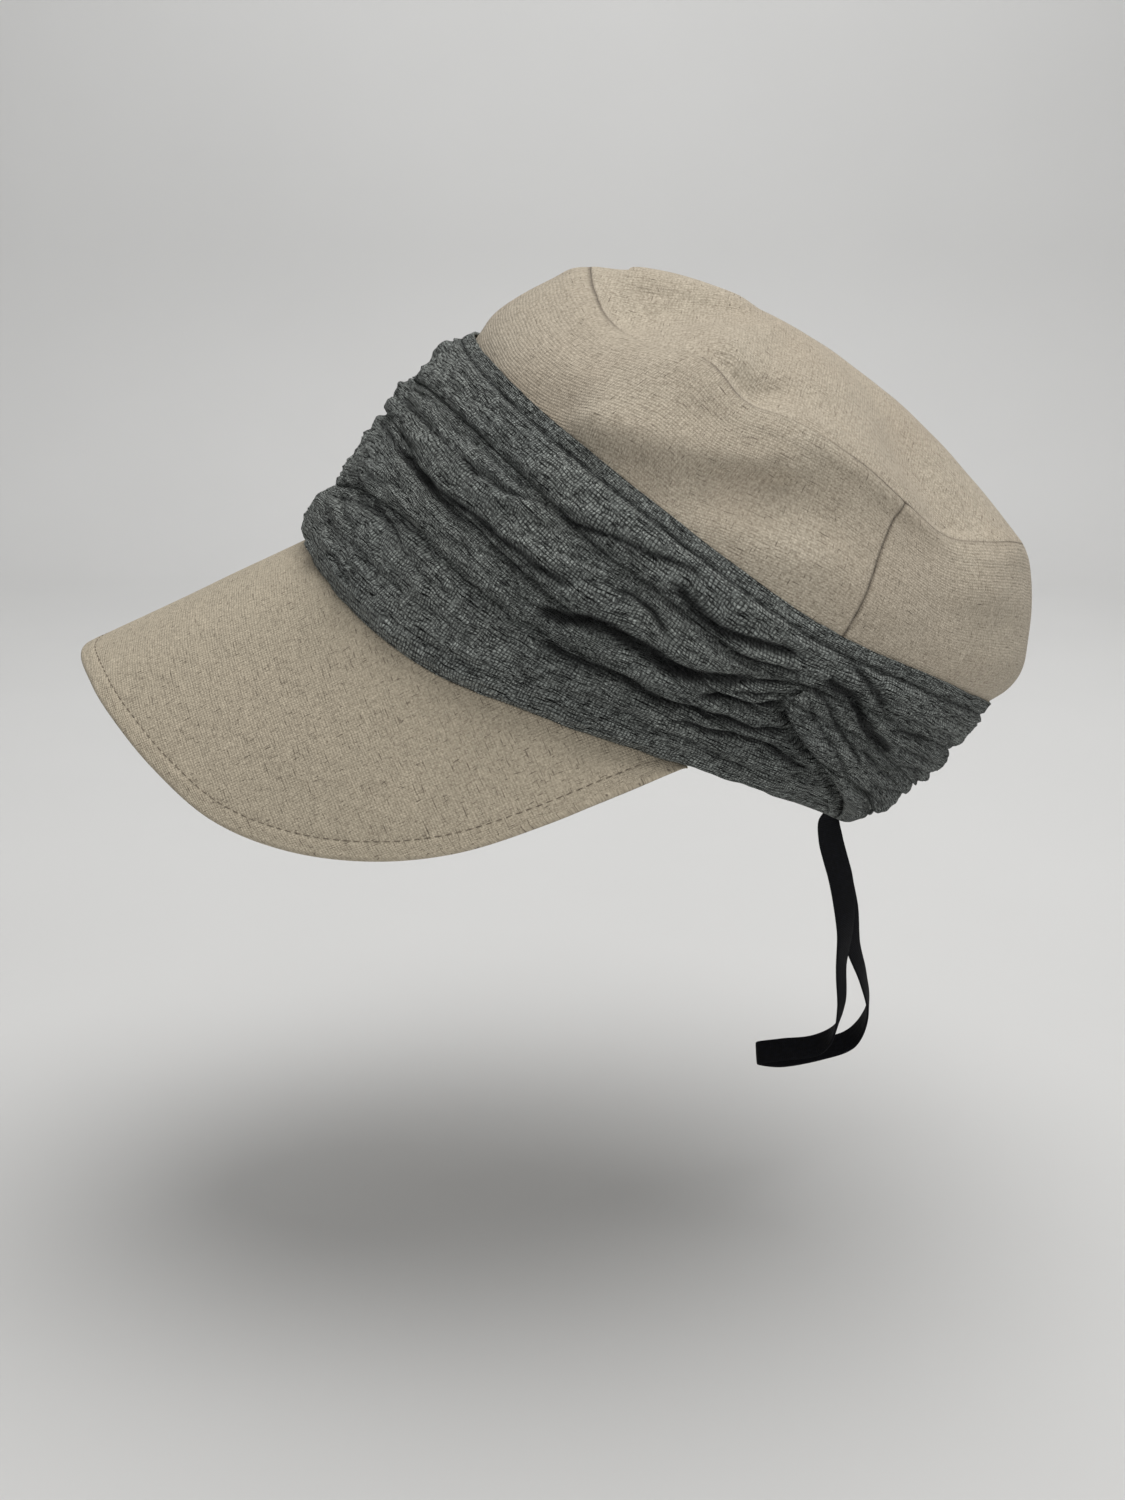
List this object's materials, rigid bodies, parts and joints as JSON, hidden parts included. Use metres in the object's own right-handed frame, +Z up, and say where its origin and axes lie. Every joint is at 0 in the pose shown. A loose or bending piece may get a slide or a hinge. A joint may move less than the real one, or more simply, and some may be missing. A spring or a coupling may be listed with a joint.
{
  "type": "peaked cap",
  "caption": "Linen peaked cap with a wide pleated gauze band gathered at the side-back and a thin flat tape hanging in a loop at the back.",
  "frame": {"origin": "centre of the head opening, where a head holds the cap", "axes": "+Z up as the cap is worn, tipped back by 28 degrees; the peak points to -X; the wearer's left is -Y"},
  "size_m": [0.3036, 0.1918, 0.2666],
  "materials": {
    "linen": "natural linen, fine weave with dark slubs",
    "linen_peak": "natural linen, stitched round its edge",
    "gauze": "crinkled open-weave gauze, matt",
    "tape": "flat woven tape, slightly satin"
  },
  "bodies": {
    "root": {"crown_top": "linen", "crown_side": "linen", "crown_back": "linen", "peak": "linen_peak", "band_front": "gauze", "band_back": "gauze", "back_tape": "tape"}
  },
  "joints": []
}
